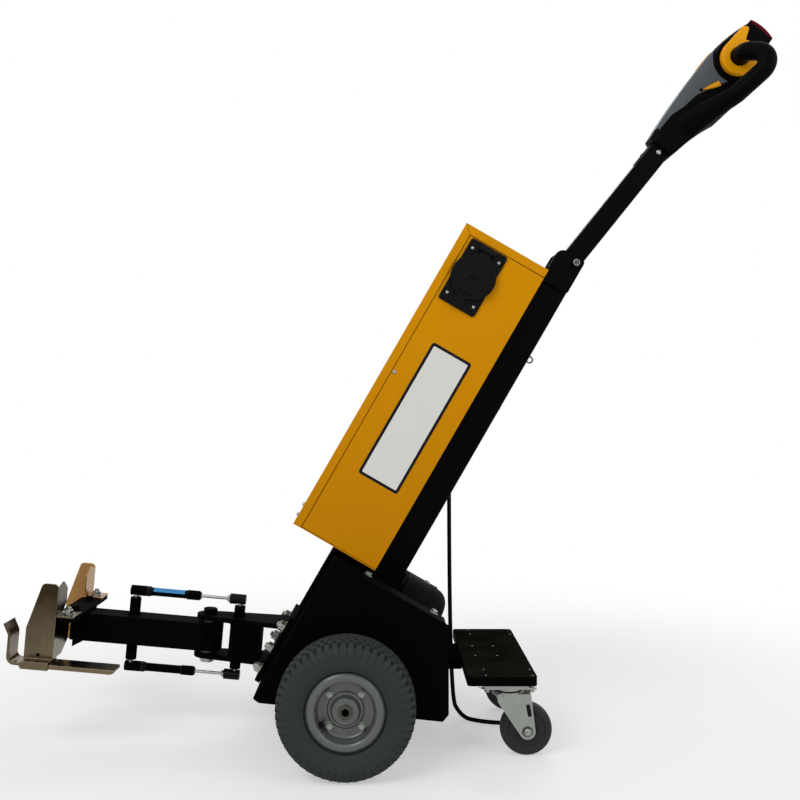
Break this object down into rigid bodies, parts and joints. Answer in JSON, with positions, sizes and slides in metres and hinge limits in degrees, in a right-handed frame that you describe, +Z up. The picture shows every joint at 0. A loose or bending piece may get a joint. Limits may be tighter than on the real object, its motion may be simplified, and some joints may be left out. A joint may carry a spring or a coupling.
{
  "type": "walk-behind electric cart tugger",
  "caption": "Walk-behind electric tow tractor: leaning battery box on a mast with a tiller, drive wheels, rear casters and a sprung swing hitch with sliding hooks.",
  "frame": {"origin": "on the floor under the middle of the overall length and width", "axes": "+X to the rear, from hitch to tiller, +Y to the machine's right seen facing its hitch end from the tiller, +Z up"},
  "size_m": [1.3762, 0.543, 1.3162],
  "materials": {
    "yellow_paint": "semi-gloss yellow powder coat",
    "black_paint": "semi-gloss black powder coat",
    "zinc": "bright zinc plate",
    "stainless": "brushed stainless sheet",
    "grey_tyre": "grey non-marking rubber",
    "rim_paint": "silver-grey paint",
    "caster_tread": "dark grey tread on a moulded core",
    "black_plastic": "moulded satin",
    "face_plastic": "moulded fine grain",
    "yellow_plastic": "moulded satin",
    "red_plastic": "moulded gloss",
    "cord_jacket": "matt jacket",
    "bare_steel": "polished rod",
    "cast_housing": "black painted casting"
  },
  "bodies": {
    "chassis": {"side_panel_left": "black_paint", "side_panel_right": "black_paint", "front_plate": "black_paint", "rear_plate": "black_paint", "transaxle": "cast_housing", "drive_motor": "cast_housing", "mast": "black_paint", "battery_box_body": "yellow_paint", "battery_box_cover": "yellow_paint", "battery": "black_plastic", "charge_inlet": "black_plastic", "mast_bracket": "black_paint", "tiller_pivot": "zinc", "rear_platform": "black_paint", "platform_neck": "black_paint", "caster_mount_left": "zinc", "caster_mount_right": "zinc", "clevis_bracket": "black_paint", "hitch_pin": "zinc", "cord_elbow": "black_plastic", "drag_cord": "cord_jacket"},
    "hitch": {"hitch_arm": "black_paint", "hitch_crosshead": "black_paint", "jaw_bracket_left": "stainless", "jaw_bracket_right": "stainless"},
    "tiller": {"tiller_tube": "black_paint", "tiller_shell": "black_plastic", "tiller_face": "face_plastic", "throttle_wings": "yellow_plastic", "belly_button": "red_plastic"},
    "inlet_lid": {"inlet_lid": "black_plastic"},
    "drive_wheel_left": {"drive_rim_left": "rim_paint", "drive_tyre_left": "grey_tyre"},
    "caster_swivel_left": {"caster_fork_left": "zinc"},
    "caster_roller_left": {"caster_wheel_left": "caster_tread"},
    "hook_left": {"hook_bar_left": "stainless"},
    "drive_wheel_right": {"drive_rim_right": "rim_paint", "drive_tyre_right": "grey_tyre"},
    "caster_swivel_right": {"caster_fork_right": "zinc"},
    "caster_roller_right": {"caster_wheel_right": "caster_tread"},
    "hook_right": {"hook_bar_right": "stainless"},
    "spring_cylinder_upper": {"spring_cylinder_upper": "black_paint"},
    "spring_rod_upper": {"spring_rod_upper": "bare_steel"},
    "spring_cylinder_lower": {"spring_cylinder_lower": "black_paint"},
    "spring_rod_lower": {"spring_rod_lower": "bare_steel"}
  },
  "joints": [
    {"name": "hitch_swing", "type": "hinge", "parent": "chassis", "child": "hitch", "pos_m": [-0.35548, 0, 0.1775], "axis": [0.0872, 0, 0.9962], "range_deg": [-45, 45]},
    {"name": "handle_tilt", "type": "hinge", "parent": "chassis", "child": "tiller", "pos_m": [0.32359, 0, 0.86645], "axis": [0, 1, 0], "range_deg": [0, 50]},
    {"name": "lid_hinge", "type": "hinge", "parent": "chassis", "child": "inlet_lid", "pos_m": [0.14632, -0.176, 0.86441], "axis": [-0.866, 0, 0.5], "range_deg": [0, 110], "stiffness_Nm_per_rad": 0.05, "springref_deg": -17.19},
    {"name": "drive_wheel_left_spin", "type": "hinge", "parent": "chassis", "child": "drive_wheel_left", "pos_m": [-0.09098, -0.227, 0.1143], "axis": [0, 1, 0], "continuous": true},
    {"name": "caster_left_swivel", "type": "hinge", "parent": "chassis", "child": "caster_swivel_left", "pos_m": [0.18702, -0.121, 0.1], "axis": [0, 0, 1], "continuous": true},
    {"name": "caster_left_roll", "type": "hinge", "parent": "caster_swivel_left", "child": "caster_roller_left", "pos_m": [0.21802, -0.121, 0.045], "axis": [0, 1, 0], "continuous": true},
    {"name": "hook_left_slide", "type": "slide", "parent": "hitch", "child": "hook_left", "axis": [-0.9962, 0, 0.0872], "range_m": [-0.012, 0.06]},
    {"name": "drive_wheel_right_spin", "type": "hinge", "parent": "chassis", "child": "drive_wheel_right", "pos_m": [-0.09098, 0.227, 0.1143], "axis": [0, 1, 0], "continuous": true},
    {"name": "caster_right_swivel", "type": "hinge", "parent": "chassis", "child": "caster_swivel_right", "pos_m": [0.18702, 0.121, 0.1], "axis": [0, 0, 1], "continuous": true},
    {"name": "caster_right_roll", "type": "hinge", "parent": "caster_swivel_right", "child": "caster_roller_right", "pos_m": [0.21802, 0.121, 0.045], "axis": [0, 1, 0], "continuous": true},
    {"name": "hook_right_slide", "type": "slide", "parent": "hitch", "child": "hook_right", "axis": [-0.9962, 0, 0.0872], "range_m": [-0.012, 0.06]},
    {"name": "spring_rod_upper_turn", "type": "hinge", "parent": "chassis", "child": "spring_rod_upper", "pos_m": [-0.29555, 0, 0.24293], "axis": [0.0872, 0, 0.9962], "range_deg": [-33.5, 33.5]},
    {"name": "spring_cylinder_upper_turn", "type": "hinge", "parent": "hitch", "child": "spring_cylinder_upper", "pos_m": [-0.48981, 0, 0.25992], "axis": [0.0872, 0, 0.9962], "range_deg": [-12.5, 12.5]},
    {"name": "spring_rod_lower_turn", "type": "hinge", "parent": "chassis", "child": "spring_rod_lower", "pos_m": [-0.30782, 0, 0.10266], "axis": [0.0872, 0, 0.9962], "range_deg": [-33.5, 33.5]},
    {"name": "spring_cylinder_lower_turn", "type": "hinge", "parent": "hitch", "child": "spring_cylinder_lower", "pos_m": [-0.50208, 0, 0.11966], "axis": [0.0872, 0, 0.9962], "range_deg": [-12.5, 12.5]}
  ],
  "couplings": [
    {"joint": "spring_rod_upper_turn", "follows": "hitch_swing", "ratio": 0.7327},
    {"joint": "spring_cylinder_upper_turn", "follows": "hitch_swing", "ratio": -0.2673},
    {"joint": "spring_rod_lower_turn", "follows": "hitch_swing", "ratio": 0.7327},
    {"joint": "spring_cylinder_lower_turn", "follows": "hitch_swing", "ratio": -0.2673}
  ]
}
